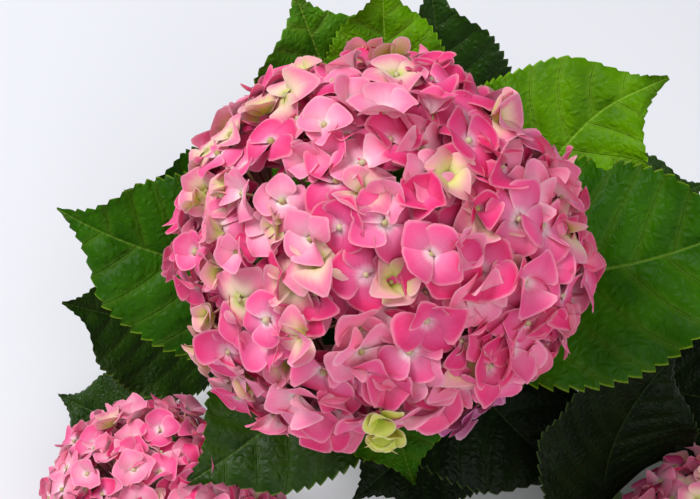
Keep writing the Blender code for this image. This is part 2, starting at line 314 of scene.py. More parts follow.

# each leaf as in the part's source, then the look that paints how lit or shaded it is, and how it differs
leaves = {
    "stem": [
        dict(along=0.70, turn=60, rise=48, fall=62, long=0.132, wide=0.086, sweep=44, look="dark"),
        dict(along=0.66, turn=190, rise=70, fall=80, long=0.110, wide=0.076, look="dark"),
        dict(along=0.50, turn=350, rise=72, fall=84, long=0.112, wide=0.078, look="dark"),
    ],
    "middle": [
        dict(along=0.90, turn=98, rise=88, fall=72, long=0.094, wide=0.062, look="bright"),
        dict(along=0.90, turn=256, rise=84, fall=80, long=0.084, wide=0.070, sweep=40, look="midLit"),
        dict(
            along=0.80, turn=240, rise=61, fall=66, long=0.138, wide=0.088, sweep=-82, roll=-12,
            look="midLit",
        ),
        dict(along=0.80, turn=316, rise=74, fall=78, long=0.150, wide=0.106, sweep=78, look="midLit"),
        dict(
            along=0.62, turn=348, rise=56, fall=74, long=0.128, wide=0.096, sweep=80, hook=-40,
            teeth=28, toothed=0.7, look="bright",
        ),
        dict(along=0.62, turn=285, rise=53, fall=50, long=0.136, wide=0.084, sweep=-62, look="deep"),
        dict(along=0.42, turn=124, rise=56, fall=68, long=0.112, wide=0.096, sweep=-8, look="sunlit"),
        dict(along=0.42, turn=276, rise=72, fall=88, long=0.128, wide=0.098, sweep=54, look="night"),
    ],
    "left": [
        dict(along=0.14, turn=80, rise=36, fall=48, long=0.126, wide=0.080, sweep=4, look="midLit"),
        dict(along=0.54, turn=150, rise=54, fall=68, long=0.104, wide=0.082, sweep=-24, look="deep"),
        dict(along=0.88, turn=216, rise=98, fall=94, long=0.078, wide=0.062, sweep=-44, look="deep"),
    ],
    "right": [
        dict(along=0.15, turn=10, rise=50, fall=60, long=0.120, wide=0.080, look="deep"),
        dict(
            along=0.92, turn=168, rise=92, fall=90, long=0.096, wide=0.080, sweep=-134, roll=24,
            look="night",
        ),
        dict(along=0.50, turn=10, rise=40, fall=60, long=0.100, wide=0.074, sweep=20, look="night"),
        dict(along=0.42, turn=175, rise=66, fall=72, long=0.110, wide=0.084, sweep=10, look="night"),
        dict(along=0.88, turn=348, rise=94, fall=78, long=0.078, wide=0.060, look="night"),
    ],
}

# blade, back, vein and rim colours of each look, and its gloss: lit and shaded copies of one leaf, with
# painted light on the brighter looks and painted shade on the darker ones
leafLooks = {
    # bright: painted light, leaves in full light and the glow of a blade lit through
    "bright": (rgb(88, 138, 0), rgb(112, 138, 50), rgb(132, 174, 50), rgb(116, 164, 24), 0.07),
    "sunlit": (rgb(76, 130, 12), rgb(104, 128, 50), rgb(140, 166, 60), rgb(140, 168, 50), 0.12),
    "midLit": (rgb(46, 96, 0), rgb(84, 106, 46), rgb(92, 124, 34), rgb(108, 138, 28), 0.07),
    "deep": (rgb(36, 66, 4), rgb(72, 92, 42), rgb(72, 100, 36), rgb(86, 116, 30), 0.16),
    "dark": (rgb(34, 66, 4), rgb(66, 84, 40), rgb(64, 88, 38), rgb(78, 104, 34), 0.20),
    # night: painted shade, the near-black leaves in the shade under the heads
    "night": (rgb(18, 30, 8), rgb(104, 122, 58), rgb(42, 60, 28), rgb(56, 76, 30), 0.08),
}


def outline(s):
    s = np.clip(s, 0.0, 1.0)
    low, high = 0.62, 0.92
    middle = low / (low + high)
    ovate = s**low * (1 - s) ** high / (middle**low * (1 - middle) ** high)
    start, narrowing = leafRule["narrowTip"]
    return ovate * (1 - narrowing * np.maximum(0.0, (s - start) / (1 - start)))


def leafFrames(path, radius, facts, stations):
    along = heading(path, facts["along"])
    right = across(along)
    turn = math.radians(facts["turn"])
    out = right * math.cos(turn) + along.cross(right) * math.sin(turn)
    hinge = along.cross(out)
    rise, fall, sweep, hook, roll = (
        math.radians(facts.get(name, 0)) for name in ("rise", "fall", "sweep", "hook", "roll")
    )
    light, hookFrom = leafRule["light"], leafRule["hookFrom"]
    upper = 1 if (Matrix.Rotation(rise, 3, hinge) @ along).cross(hinge).dot(light) > 0 else -1
    point = bezier(path, facts["along"]) + out * (radius + leafRule["footGap"])
    frames = []
    before = stations[0]
    for s in stations:
        onBlade = max(0.0, s)
        bent = float(eased(1 + s * facts["long"] / leafRule["stalkLong"]))
        angle = math.pi / 2 + (rise - math.pi / 2) * bent + (fall - rise) * onBlade
        direction = Matrix.Rotation(angle, 3, hinge) @ along
        normal = direction.cross(hinge)
        sideways = sweep * (bent + onBlade) / 2 + hook * float(eased((s - hookFrom) / (1 - hookFrom)))
        direction = Matrix.Rotation(sideways, 3, normal) @ direction
        normal *= upper
        lit = light - direction * light.dot(direction)
        toLight = math.atan2(direction.dot(normal.cross(lit)), normal.dot(lit))
        normal = Matrix.Rotation((toLight + roll) * bent, 3, direction) @ normal
        point = point + direction * ((s - before) * facts["long"])
        frames.append((*point, *direction.cross(normal), *normal))
        before = s
    return np.array(frames)


def smoothRows(stations, rows, wanted):
    # cubic through the part's own stations, so that the fine leaf lies over the solid
    stations, wanted = np.array(stations), np.array(wanted)
    slopes = np.gradient(rows, stations, axis=0)
    at = np.clip(np.searchsorted(stations, wanted) - 1, 0, len(stations) - 2)
    span = (stations[at + 1] - stations[at])[:, None]
    t = (wanted[:, None] - stations[at][:, None]) / span
    first = rows[at] * (2 * t**3 - 3 * t**2 + 1) + slopes[at] * span * (t**3 - 2 * t**2 + t)
    return first + rows[at + 1] * (3 * t**2 - 2 * t**3) + slopes[at + 1] * span * (t**3 - t**2)


def leafRows(facts):
    # shares along the leaf and, on the toothed part, how far each row is through its tooth
    stalk = -leafRule["stalkLong"] / facts["long"]
    rows = [(stalk * share, 0) for share in (1.06, 1.0, 0.86, 0.70, 0.54, 0.38, 0.24, 0.12, 0.04)]
    rows += [(share, 0) for share in (0.015, 0.04, 0.07)]
    teeth = facts.get("teeth", leafRule["teeth"])
    for tooth in range(teeth):
        for phase in (0.0, 0.30, 0.60, 0.86):
            # teeth shorten towards the tip
            rows.append((0.10 + 0.87 * ((tooth + phase) / teeth) ** 0.9, phase))
    return rows + [(0.98, 0), (1.0, 0)]


def buildLeaf(name, path, radius, facts, seed):
    long, rule = facts["long"], leafRule
    stalkLong = rule["stalkLong"] / long
    stations = [-stalkLong * (1 - i / 3) for i in range(3)] + [(i + 0.4) / 10.4 for i in range(11)]
    frames = leafFrames(path, radius, facts, stations)
    fine = leafRows(facts)
    shares = np.array([row[0] for row in fine])
    phases = np.array([row[1] for row in fine])
    rows = smoothRows(stations, frames, np.clip(shares, stations[0], 1.0))
    rows[:, :3] += np.minimum(shares - stations[0], 0)[:, None] * long * np.cross(rows[:, 6:9], rows[:, 3:6])
    mesh = closedSheet(rule["columns"], len(fine) - 1)
    flat = pointsOf(mesh)
    column, side = flat[:, 0], flat[:, 2]
    row = np.rint((flat[:, 1] + 1) / 2 * (len(fine) - 1)).astype(int)
    s, phase = shares[row], phases[row]
    u = column * (0.55 + 0.45 * column**2)
    edge = np.abs(u)
    onBlade = eased(s / 0.04)
    # outline, with teeth that lean forward
    stalkHalf = rule["stalkWide"] / 2 * (1 - 0.28 * eased(1 + s / stalkLong))
    tapered = stalkHalf + (rule["tipWide"] / 2 - stalkHalf) * np.clip(s, 0, 1)
    drawnOut = 1 - 0.5 * eased((s - 0.74) / 0.2)
    half = np.where(s > 0, np.maximum(tapered, outline(s) * drawnOut * facts["wide"] / 2), stalkHalf)
    sawtooth = (phase / 0.86) ** 0.8
    toothed = eased((s - 0.10) / 0.08) * eased((0.985 - s) / 0.06) * eased((edge - 0.80) / 0.20)
    toothLong = long * 0.87 / facts.get("teeth", rule["teeth"]) * (0.6 + 0.5 * half / (facts["wide"] / 2))
    toothReach = toothLong * rule["toothDeep"] * facts.get("toothed", 1) * (sawtooth - 0.5)
    sideways = u * half + np.sign(u) * toothReach * toothed
    forward = toothLong * rule["toothLean"] * sawtooth * toothed
    # the blade's own curves
    rng = random.Random(seed)
    ranges = ((1.6, 2.6), (0, 6.3), (4.2, 5.6), (0, 6.3))
    waves = [[rng.uniform(*ends) for ends in ranges] for _ in "lr"]
    lift = half * (rule["keel"] * edge - rule["droop"] * u * u)
    for sign, (slow, slowAt, quick, quickAt) in zip((-1, 1), waves):
        ripple = np.sin(6.283 * slow * s + slowAt) + 0.5 * np.sin(6.283 * quick * s + quickAt)
        lift += np.where(u * sign > 0, rule["wave"] * ripple * edge**2.6, 0) * eased(s / 0.25)
    # quilting between the side veins and a groove along the midrib
    beside = np.abs(sideways) / long
    veinAt = (s - rule["veinSlant"] * beside - rule["veinCurve"] * beside**2) * rule["veins"]
    veinAt += 0.35 + 0.25 * (u > 0)
    bulge = np.abs(np.sin(np.pi * veinAt)) ** 0.6 - 0.6
    inner = eased(np.abs(sideways) / 0.005) * (1 - edge**5) * eased(half / 0.02) * onBlade
    relief = rule["quilt"] * long / 0.13 * bulge * inner
    relief -= rule["groove"] * np.exp(-((sideways / 0.0013) ** 2)) * onBlade * (1 - s * 0.6)
    # thickness: a round stalk that runs on as a rib under the blade
    ribbed = np.exp(-((sideways / 0.0016) ** 2)) * (1 - 0.75 * np.clip(s, 0, 1))
    sideRibbed = np.exp(-((veinAt - np.rint(veinAt)) / 0.05) ** 2)
    under = rule["thick"] / 2 + rule["midribThick"] * ribbed + 0.0002 * sideRibbed
    roundness = np.sqrt(np.maximum(0.0, 1 - u**2))
    stalkUp = stalkHalf * roundness
    bladeUp = relief + np.where(side > 0, rule["thick"] / 2, np.where(side < 0, -under, 0))
    height = lift * onBlade + bladeUp * onBlade + np.where(side < 0, -stalkUp, stalkUp) * (1 - onBlade)
    at, across_, normal = rows[row, :3], rows[row, 3:6], rows[row, 6:9]
    across_ /= np.linalg.norm(across_, axis=1)[:, None]
    normal /= np.linalg.norm(normal, axis=1)[:, None]
    direction = np.cross(normal, across_)
    placed = at + across_ * sideways[:, None] + normal * height[:, None] + direction * forward[:, None]
    setPoints(mesh, placed)
    mesh.shade_smooth()
    sharpenRim(mesh, side)
    setAttribute(mesh, "leafPlace", "FLOAT_VECTOR", np.stack([sideways / long, s, edge], axis=1))
    setAttribute(mesh, "leafUpper", "FLOAT", np.where(side < 0, 0.0, 1.0))
    # the blade flat beside its own back
    onUnder, corner = underCorners(mesh, side)
    flatAcross = np.clip(0.25 + sideways / long * 0.5, 0.02, 0.48)[corner] + np.where(onUnder, 0.5, 0)
    flatAlong = ((s + stalkLong * 1.1) / (1 + stalkLong * 1.1) * 0.98 + 0.01)[corner]
    setMap(mesh, "OFBake", np.stack([flatAcross, flatAlong], axis=1))
    return finishPiece(name + "_blade", mesh, name, [leafMaterials[facts["look"]]])


def makeLeafGroup():
    colour, number = "NodeSocketColor", "NodeSocketFloat"
    group, given, put = newGroup(
        "leafFace",
        {"Blade": colour, "Back": colour, "Vein": colour, "Rim": colour},
        {"Colour": colour, "Roughness": number, "Height": number},
    )
    place = putNode(group, "ShaderNodeAttribute", attribute_name="leafPlace").outputs["Vector"]
    upper = putNode(group, "ShaderNodeAttribute", attribute_name="leafUpper").outputs["Fac"]
    parts = putNode(group, "ShaderNodeSeparateXYZ", {0: place}).outputs
    beside, along, edge = maths(group, "ABSOLUTE", parts[0]), parts[1], parts[2]
    steepness = maths(group, "MULTIPLY_ADD", beside, leafRule["veinCurve"], leafRule["veinSlant"])
    slant = maths(group, "MULTIPLY", beside, steepness)
    veinAt = maths(group, "MULTIPLY", maths(group, "SUBTRACT", along, slant), float(leafRule["veins"]))
    offset = maths(group, "MULTIPLY_ADD", maths(group, "GREATER_THAN", parts[0], 0.0), 0.25, 0.35)
    fromVein = maths(group, "PINGPONG", maths(group, "ADD", veinAt, offset), 0.5)
    sideVein = ranged(group, fromVein, 0.012, 0.042, 1.0, 0.0)
    halo = ranged(group, fromVein, 0.02, 0.26, 0.16, 0.0)
    narrowing = ranged(group, along, 0.0, 1.0, 1.0, 0.25, "LINEAR")
    midrib = ranged(group, maths(group, "DIVIDE", beside, narrowing), 0.004, 0.010, 1.0, 0.0)
    # the net of small veins and the blisters between them
    flat = putNode(group, "ShaderNodeCombineXYZ", {0: parts[0], 1: along}).outputs[0]
    wander = noise(group, flat, 30.0, 1.0, "Color")
    bent = putNode(group, "ShaderNodeMix", {0: 0.03, 4: flat, 5: wander}, data_type="VECTOR").outputs[1]
    cells = putNode(
        group, "ShaderNodeTexVoronoi", {"Vector": bent, "Scale": 34.0}, feature="DISTANCE_TO_EDGE"
    )
    cellEdge = cells.outputs["Distance"]
    fineVein = ranged(group, cellEdge, 0.0, 0.09, 1.0, 0.0)
    # large blotches of a darker blade: painted shade across the blade, together with its uneven tone
    mottleAndShade = noise(group, flat, 5.0, 4.0)
    grain = noise(group, flat, 110.0, 2.0)
    # the darker blade serves the blotches of painted shade and the net of small veins, whose darker green is
    # their own
    shadeAndVeinTone = blended(group, 1.0, given["Blade"], (0.5, 0.58, 0.6, 1), "MULTIPLY")
    blade = blended(group, ranged(group, mottleAndShade, 0.36, 0.66), given["Blade"], shadeAndVeinTone)
    blade = blended(group, maths(group, "MULTIPLY", fineVein, 0.35), blade, shadeAndVeinTone)
    strongVein = maths(group, "MULTIPLY", midrib, 0.66)
    faintVein = maths(group, "MULTIPLY", sideVein, 0.28)
    veins = maths(group, "MAXIMUM", strongVein, faintVein)
    net = halo
    top = blended(group, maths(group, "MAXIMUM", veins, net), blade, given["Vein"])
    # painted highlight: a thin lighter line along the margin, where the edge catches the light
    top = blended(group, ranged(group, edge, 0.972, 0.998, 0.0, 0.9), top, given["Rim"])
    backVeins = maths(group, "MULTIPLY", maths(group, "MAXIMUM", veins, net), 0.7)
    back = blended(group, backVeins, given["Back"], given["Vein"])
    stalk = ranged(group, along, -0.02, 0.01, 1.0, 0.0)
    face = blended(group, upper, back, top)
    group.links.new(blended(group, maths(group, "MULTIPLY", stalk, 0.8), face, given["Vein"]), put["Colour"])
    shine = maths(group, "MULTIPLY_ADD", grain, 0.14, 0.36)
    underside = maths(group, "SUBTRACT", 1.0, upper)
    group.links.new(maths(group, "MULTIPLY_ADD", underside, 0.3, shine), put["Roughness"])
    puffed = ranged(group, cellEdge, 0.0, 0.55)
    sunken = maths(group, "SUBTRACT", puffed, maths(group, "MULTIPLY", sideVein, 0.8))
    height = maths(group, "MULTIPLY_ADD", grain, 0.12, sunken)
    group.links.new(height, put["Height"])
    return group


def makeLeafMaterials():
    group = makeLeafGroup()
    made = {}
    for look, (blade, back, vein, rim, gloss) in leafLooks.items():
        material, tree, shader = newMaterial("leaf " + look)
        shader.inputs["Specular IOR Level"].default_value = gloss
        face = putNode(tree, "ShaderNodeGroup", node_tree=group)
        for label, value in (("Blade", blade), ("Back", back), ("Vein", vein), ("Rim", rim)):
            face.inputs[label].default_value = value
        tree.links.new(face.outputs["Colour"], shader.inputs["Base Color"])
        tree.links.new(face.outputs["Roughness"], shader.inputs["Roughness"])
        tree.links.new(bumped(tree, face.outputs["Height"], 0.0005), shader.inputs["Normal"])
        made[look] = material
    return made


# ---- flower heads

florets = {
    "count": {"middle": 330, "left": 190, "right": 190},
    "inner": {"middle": 130, "left": 70, "right": 70},
    "size": {"middle": 0.0138, "left": 0.0112, "right": 0.0112},  # length of a petal
    "lowest": math.radians(128),
    "heights": (0.855, 0.878, 0.90, 0.922, 0.944),  # neighbours stand at different heights
    "innerHeights": (0.78, 0.85),
    "tilt": 0.45,
    "petalColumns": 5,
    "petalRows": 5,
    "shapes": 12,  # how many petals are modelled, for the rest to share
    "petalThick": 0.0004,
    "eyeRadius": 0.0014,
}

# how far the petals of a floret are raised, how they are scaled, and how many in a hundred are so
postures = ((0.05, 1.0, 26), (0.34, 0.98, 36), (0.66, 0.95, 26), (1.00, 0.84, 12))

# heart, blush, rim and back colours of each kind of floret, and how many in a hundred are so
petalLooks = {
    "pink": (rgb(248, 208, 216), rgb(243, 120, 164), rgb(240, 80, 138), rgb(244, 134, 172), 42),
    "rose": (rgb(242, 180, 200), rgb(234, 88, 142), rgb(228, 50, 114), rgb(232, 96, 144), 26),
    "pale": (rgb(250, 222, 222), rgb(248, 164, 188), rgb(246, 124, 164), rgb(248, 172, 194), 16),
    "cream": (rgb(200, 202, 100), rgb(240, 200, 176), rgb(240, 124, 158), rgb(240, 170, 178), 12),
    "green": (rgb(170, 186, 40), rgb(220, 210, 136), rgb(236, 160, 166), rgb(224, 190, 156), 6),
    "bud": (rgb(140, 162, 30), rgb(176, 188, 60), rgb(204, 204, 96), rgb(160, 178, 56), 0),
    # painted shade: dusky florets for the shaded recess under the middle head
    "mauve": (rgb(190, 130, 160), rgb(190, 100, 150), rgb(176, 66, 128), rgb(170, 90, 134), 0),
}


def petalShapes():
    # closed petals, foot at the origin, along +y, one unit long
    shapes = []
    rng = random.Random(5)
    mesh = closedSheet(florets["petalColumns"], florets["petalRows"])
    flat = pointsOf(mesh)
    onUnder, corner = underCorners(mesh, flat[:, 2])
    faces = corner.reshape(-1, 4)
    bpy.data.meshes.remove(mesh)
    across_, along, side = flat[:, 0], flat[:, 1], flat[:, 2]
    x = across_ * np.sqrt(1 - along**2 / 2)  # the square grid as a round one
    y = along * np.sqrt(1 - across_**2 / 2)
    for i in range(florets["shapes"]):
        wide = rng.uniform(0.59, 0.69)
        length = (y + 1) / 2
        narrow = 0.68 + 0.32 * eased(length / rng.uniform(0.40, 0.55))
        px = x * wide * narrow * (1 - 0.18 * eased((length - 0.6) / 0.4))
        py = length + rng.uniform(0.0, 0.10) * np.exp(-((x / 0.20) ** 2)) * eased((length - 0.6) / 0.4)
        # dished or recurved along it, cupped or saddled across it, with a wavy margin
        pz = rng.uniform(0.10, 0.35) * py - rng.uniform(0.05, 0.60) * py**2
        pz += rng.choice((-0.7, -0.2, 0.2, 0.6, 1.0)) * px**2
        fringe = np.hypot(px / wide, (py - 0.5) / 0.55)
        turn = np.arctan2(px, py - 0.5)
        pz += 0.11 * fringe**3 * np.sin(rng.choice((2, 3, 4)) * turn + rng.uniform(0, 6.3))
        pz -= 0.04 * np.exp(-((px / 0.10) ** 2)) * eased(py / 0.3)
        shapes.append((np.stack([px, py, pz], axis=1), np.stack([x / 2 + 0.5, length], axis=1)))
    return shapes, faces, side, onUnder


def turned(direction, spin):
    # rotation that takes +z to a direction, after a spin about +z
    stand = direction.to_track_quat("Z", "Y").to_matrix()
    return stand @ Matrix.Rotation(spin, 3, "Z")


def headStand(name):
    return heads[name]["faces"].to_track_quat("Z", "Y").to_matrix()


def floretPlaces(name, count, lowest, seed):
    # unit directions spread evenly over a ball, each moved a little
    rng = random.Random(seed)
    golden = math.pi * (3 - math.sqrt(5))
    for i in range(count):
        polar = math.acos(1 - (i + 0.5) / count * (1 - math.cos(lowest))) + rng.uniform(-0.05, 0.05)
        azimuth = i * golden + rng.uniform(-0.08, 0.08) / max(0.3, math.sin(polar))
        ring = math.sin(polar)
        yield Vector((ring * math.cos(azimuth), ring * math.sin(azimuth), math.cos(polar)))


def planFlorets(name):
    # where each floret is, how it is turned, how large it is and how it looks
    head, rng = heads[name], random.Random(len(name) * 31)
    stand, radius = headStand(name), head["radius"]
    swell, raise_ = head.get("swell", (1, 0))
    looks, plan = list(petalLooks), []
    for inner, number in enumerate((florets["count"][name], florets["inner"][name])):
        for i, place in enumerate(floretPlaces(name, number, florets["lowest"], number)):
            outward = Vector([a * b for a, b in zip(place, head["girth"])])
            height = rng.uniform(*florets["innerHeights"]) if inner else florets["heights"][i * 3 % 5]
            bearing = stand @ place
            for where, deep, wide in head.get("dents", ()):
                height -= deep * float(eased(1 - (bearing - where).length / wide))
            tilt = Vector([rng.uniform(-1, 1) for _ in range(3)]) * florets["tilt"]
            centre = head["centre"] + stand @ (outward * (radius * swell * height))
            # the youngest florets, green and cream, gather up on the left; more pale florets go there too,
            # as painted light on the lit upper left of the head
            youngAndLit = max(0.0, bearing.dot(Vector((-0.80, -0.10, 0.60))))
            unripe = 0.4 + 2.4 * youngAndLit
            weights = [petalLooks[look][4] * (unripe if look in ("cream", "green") else 1) for look in looks]
            # painted light: pale florets grow more common towards the lit upper left
            weights[looks.index("pale")] *= head.get("paler", 1) + 2 * youngAndLit
            # the inner florets all take the deep rose look, painted shade for the gaps between the outer
            # florets
            look = "rose" if inner else rng.choices(looks, weights)[0]
            raised, scale, _ = rng.choices(postures, [one[2] for one in postures])[0]
            if look == "green":
                raised, scale = max(raised, 0.7), scale * 0.8
            size = florets["size"][name] * scale * rng.uniform(0.88, 1.10) * (1.10 - 0.28 * youngAndLit)
            centre.z = max(centre.z + raise_, 0.006)
            plan.append(
                dict(
                    centre=centre, facing=(bearing + tilt).normalized(), size=size, raised=raised,
                    look=look, root=place, spin=rng.uniform(0, 6.3),
                )
            )
    for look, size, place in head.get("loose", ()):
        centre = head["centre"] + place * (radius * 0.97)
        facing = (place + Vector((rng.uniform(-0.5, 0.5), -0.4, rng.uniform(-0.6, 0.2)))).normalized()
        root = stand.transposed() @ place
        raised = 0.9 if look == "bud" else 0.4
        plan.append(
            dict(
                centre=centre, facing=facing, size=size, raised=raised,
                look=look, root=root, spin=rng.uniform(0, 6.3),
            )
        )
    return plan


def buildPetals(name, plan, shapes, faces, side, onUnder):
    rng = random.Random(len(name) * 17)
    points, places, bakes, faceLooks, quads = [], [], [], [], []
    looks = list(petalLooks)
    corner = faces.ravel()
    for floret in plan:
        stand = np.array(turned(floret["facing"], floret["spin"]))
        cell = looks.index(floret["look"])
        for k in range(4):
            shape, place = shapes[rng.randrange(len(shapes))]
            size = floret["size"] * rng.uniform(0.92, 1.06) * (0.94 if k % 2 else 1)
            local = shape * size
            local[:, 2] += side * florets["petalThick"] / 2
            raise_ = Matrix.Rotation(floret["raised"] + rng.uniform(-0.16, 0.20), 3, "X")
            roll = Matrix.Rotation(rng.uniform(0.04, 0.20), 3, "Y")
            turn = Matrix.Rotation(k * math.pi / 2 + rng.uniform(-0.12, 0.12), 3, "Z")
            local = local @ np.array(raise_ @ roll).T + (0, 0.0004, 0.0007 * (k % 2))
            placed = local @ (stand @ np.array(turn)).T + np.array(floret["centre"])
            placed[:, 2] = np.maximum(placed[:, 2], 0.0004 + 0.0006 * rng.random())
            quads.append(faces + len(shape) * len(points))
            points.append(placed)
            places.append(place[corner])
            column = (cell % 3) * 2 + onUnder
            bakeAcross = (column + 0.08 + 0.84 * place[corner, 0]) / 6
            bakeUp = (cell // 3 + 0.04 + 0.92 * place[corner, 1]) / 3
            bakes.append(np.stack([bakeAcross, bakeUp], axis=1))
            faceLooks += [cell] * len(faces)
    mesh = bpy.data.meshes.new("petals_" + name)
    mesh.from_pydata(np.concatenate(points).tolist(), [], np.concatenate(quads).tolist())
    mesh.polygons.foreach_set("material_index", np.array(faceLooks, np.int32))
    mesh.shade_smooth()
    sharpenRim(mesh, np.tile(side, len(points)))
    setAttribute(mesh, "petalUpper", "FLOAT", np.tile(np.where(side < 0, 0.0, 1.0), len(points)))
    setMap(mesh, "petalPlace", np.concatenate(places))
    setMap(mesh, "OFBake", np.concatenate(bakes))
    finishes = [petalMaterials[look] for look in looks]
    return finishPiece("petals_" + name, mesh, "head_" + name, finishes)


def makePetalGroup():
    colour, number = "NodeSocketColor", "NodeSocketFloat"
    group, given, put = newGroup(
        "petalFace",
        {"Heart": colour, "Blush": colour, "Rim": colour, "Back": colour},
        {"Colour": colour, "Height": number},
    )
    place = putNode(group, "ShaderNodeUVMap", uv_map="petalPlace").outputs["UV"]
    parts = putNode(group, "ShaderNodeSeparateXYZ", {0: place}).outputs
    aside = maths(group, "ABSOLUTE", maths(group, "SUBTRACT", parts[0], 0.5))
    reach = maths(group, "MULTIPLY_ADD", aside, 0.45, parts[1])
    stretched = putNode(group, "ShaderNodeMapping", {"Vector": place, "Scale": (16.0, 1.6, 1.0)}).outputs[0]
    streaks = noise(group, stretched, 1.0, 3.0)
    reach = maths(group, "MULTIPLY_ADD", maths(group, "SUBTRACT", streaks, 0.5), 0.22, reach)
    inner = blended(group, ranged(group, reach, 0.10, 0.40), given["Heart"], given["Blush"])
    whole = blended(group, ranged(group, reach, 0.38, 0.90), inner, given["Rim"])
    upper = putNode(group, "ShaderNodeAttribute", attribute_name="petalUpper").outputs["Fac"]
    back = blended(group, ranged(group, reach, 0.2, 0.9), given["Heart"], given["Back"])
    # painted highlight: a paler copy of the rim colour along the very margin, where the wavy edge catches
    # the light
    pale = blended(group, 0.55, given["Rim"], (1.0, 0.85, 0.86, 1))
    whole = blended(group, upper, back, whole)
    fromMiddle = putNode(group, "ShaderNodeVectorMath", {0: place, 1: (0.5, 0.5, 0.0)}, operation="DISTANCE")
    round_ = maths(group, "MULTIPLY", fromMiddle.outputs["Value"], 2.0)
    group.links.new(blended(group, ranged(group, round_, 0.80, 1.0, 0.0, 0.42), whole, pale), put["Colour"])
    group.links.new(streaks, put["Height"])
    return group


def makePetalMaterials():
    group = makePetalGroup()
    made = {}
    for look, (heart, blush, rim, back, _) in petalLooks.items():
        material, tree, shader = newMaterial("petal " + look, Roughness=0.55)
        shader.inputs["Specular IOR Level"].default_value = 0.2
        shader.inputs["Subsurface Weight"].default_value = 0.22
        shader.inputs["Subsurface Radius"].default_value = (1.0, 0.45, 0.5)
        shader.inputs["Subsurface Scale"].default_value = 0.004
        colours = {"Heart": heart, "Blush": blush, "Rim": rim, "Back": back}
        face = putNode(tree, "ShaderNodeGroup", colours, node_tree=group)
        tree.links.new(face.outputs["Colour"], shader.inputs["Base Color"])
        tree.links.new(bumped(tree, face.outputs["Height"], 0.0002, 0.6), shader.inputs["Normal"])
        made[look] = material
    return made


def beads(name, plan):
    # the closed eye in the middle of each floret
    bead = bmesh.new()
    bmesh.ops.create_icosphere(bead, subdivisions=1, radius=1)
    shape = bpy.data.meshes.new("bead")
    bead.to_mesh(shape)
    bead.free()
    ball, faces = pointsOf(shape), np.array([tuple(face.vertices) for face in shape.polygons])
    bpy.data.meshes.remove(shape)
    rng = random.Random(3)
    points, triangles = [], []
    for i, floret in enumerate(plan):
        size = florets["eyeRadius"] * rng.uniform(0.75, 1.2) * (0.8 if name != "middle" else 1)
        stand = np.array(turned(floret["facing"], 0))
        at = np.array(floret["centre"] + floret["facing"] * (size * 0.8))
        points.append(ball * (size, size, size * 1.15) @ stand.T + at)
        triangles.append(faces + i * len(ball))
    mesh = bpy.data.meshes.new("eyes_" + name)
    mesh.from_pydata(np.concatenate(points).tolist(), [], np.concatenate(triangles).tolist())
    mesh.shade_smooth()
    return finishPiece("eyes_" + name, mesh, None, [eyeMaterial])


rays = {
    "count": 22,
    "reach": 0.56,  # over the head's radius
    "thick": (0.0017, 0.0009),  # at foot and tip
    "stalkThick": (0.0007, 0.0006),
}


def rodShape(sides, cuts):
    # a closed rod, as circle places, shares along it and faces, for many stalks to share
    rod = bmesh.new()
    bmesh.ops.create_cone(rod, cap_ends=True, segments=sides, radius1=1, radius2=1, depth=1)
    long = [edge for edge in rod.edges if abs(edge.verts[0].co.z - edge.verts[1].co.z) > 0.5]
    bmesh.ops.subdivide_edges(rod, edges=long, cuts=cuts, use_grid_fill=True)
    shape = bpy.data.meshes.new("rod")
    rod.to_mesh(shape)
    rod.free()
    places = pointsOf(shape)
    faces = [tuple(face.vertices) for face in shape.polygons]
    bpy.data.meshes.remove(shape)
    return places[:, :2], places[:, 2] + 0.5, faces


def bentRod(rod, start, bend, end, foot, tip):
    # a rod along a curve through three points, thinning from foot to tip
    circle, share, _ = rod
    start, bend, end = (np.array(point) for point in (start, bend, end))
    t = share[:, None]
    at = start * (1 - t) ** 2 + bend * 2 * t * (1 - t) + end * t**2
    along = (bend - start) * (1 - t) + (end - bend) * t
    along /= np.linalg.norm(along, axis=1)[:, None]
    right = np.cross(along, (0.31, 0.17, 0.93))
    right /= np.linalg.norm(right, axis=1)[:, None]
    radius = foot + (tip - foot) * t
    return at + (right * circle[:, :1] + np.cross(along, right) * circle[:, 1:]) * radius


def buildRays(name, plan):
    # rays branch from the top of the shoot, and a thin stalk runs from the nearest ray to each floret
    head, stand = heads[name], headStand(name)
    radius, hub = head["radius"], neckOf(name) + head["faces"] * (head["radius"] * 0.02)
    ray, stalk = rodShape(6, 3), rodShape(4, 2)
    tips, points, faces, start = [], [], [], 0
    for place in floretPlaces(name, rays["count"], math.radians(122), 9):
        outward = stand @ Vector([a * b for a, b in zip(place, head["girth"])])
        tip = head["centre"] + outward * (radius * rays["reach"])
        bend = hub.lerp(tip, 0.5) + head["faces"] * (radius * 0.04) + outward * (radius * 0.10)
        points.append(bentRod(ray, hub, bend, tip, *rays["thick"]))
        faces += [tuple(corner + start for corner in face) for face in ray[2]]
        start += len(points[-1])
        tips.append((place, tip))
    for floret in plan:
        _, tip = max(tips, key=lambda one: one[0].dot(floret["root"]))
        end = floret["centre"] - floret["facing"] * 0.0006
        bend = tip.lerp(end, 0.5) + (stand @ floret["root"] - floret["facing"]) * (radius * 0.05)
        points.append(bentRod(stalk, tip, bend, end, *rays["stalkThick"]))
        faces += [tuple(corner + start for corner in face) for face in stalk[2]]
        start += len(points[-1])
    mesh = bpy.data.meshes.new("rays_" + name)
    mesh.from_pydata(np.concatenate(points).tolist(), [], faces)
    mesh.shade_smooth()
    return finishPiece("rays_" + name, mesh, None, [rayMaterial])


# ---- limbs

limbLook = {
    "sides": 20,
    "rings": 90,
    "nodeSwell": 0.30,
    "nodeLong": 0.006,
}


